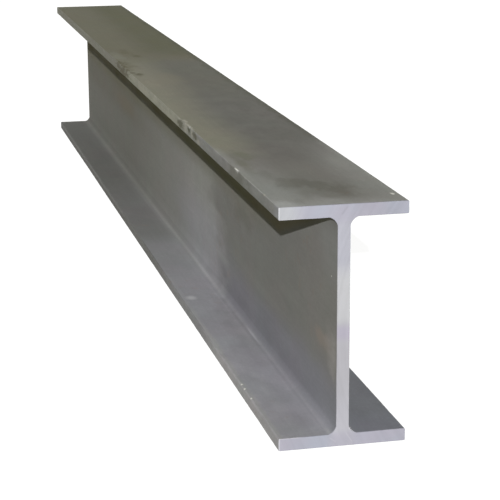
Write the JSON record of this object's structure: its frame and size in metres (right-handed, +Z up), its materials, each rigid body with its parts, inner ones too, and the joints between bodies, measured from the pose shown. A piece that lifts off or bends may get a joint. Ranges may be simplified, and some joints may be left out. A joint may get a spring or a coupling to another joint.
{
  "type": "steel i-beam",
  "caption": "Hot-rolled parallel-flange steel beam of I section, with filleted roots and sawn square ends, lying on its flange; carries bending loads across a span.",
  "frame": {"origin": "under the middle of the beam, on the outer face of the bottom flange that it rests on", "axes": "+X along the beam's length, +Y across the flanges, +Z up along the web to the top flange"},
  "size_m": [1.524, 0.108, 0.2032],
  "materials": {
    "rolled_steel": "mill scale, grey to olive, matt to satin, scuffed at the arrises, with bare sawn ends"
  },
  "bodies": {
    "root": {"beam": "rolled_steel"}
  },
  "joints": []
}
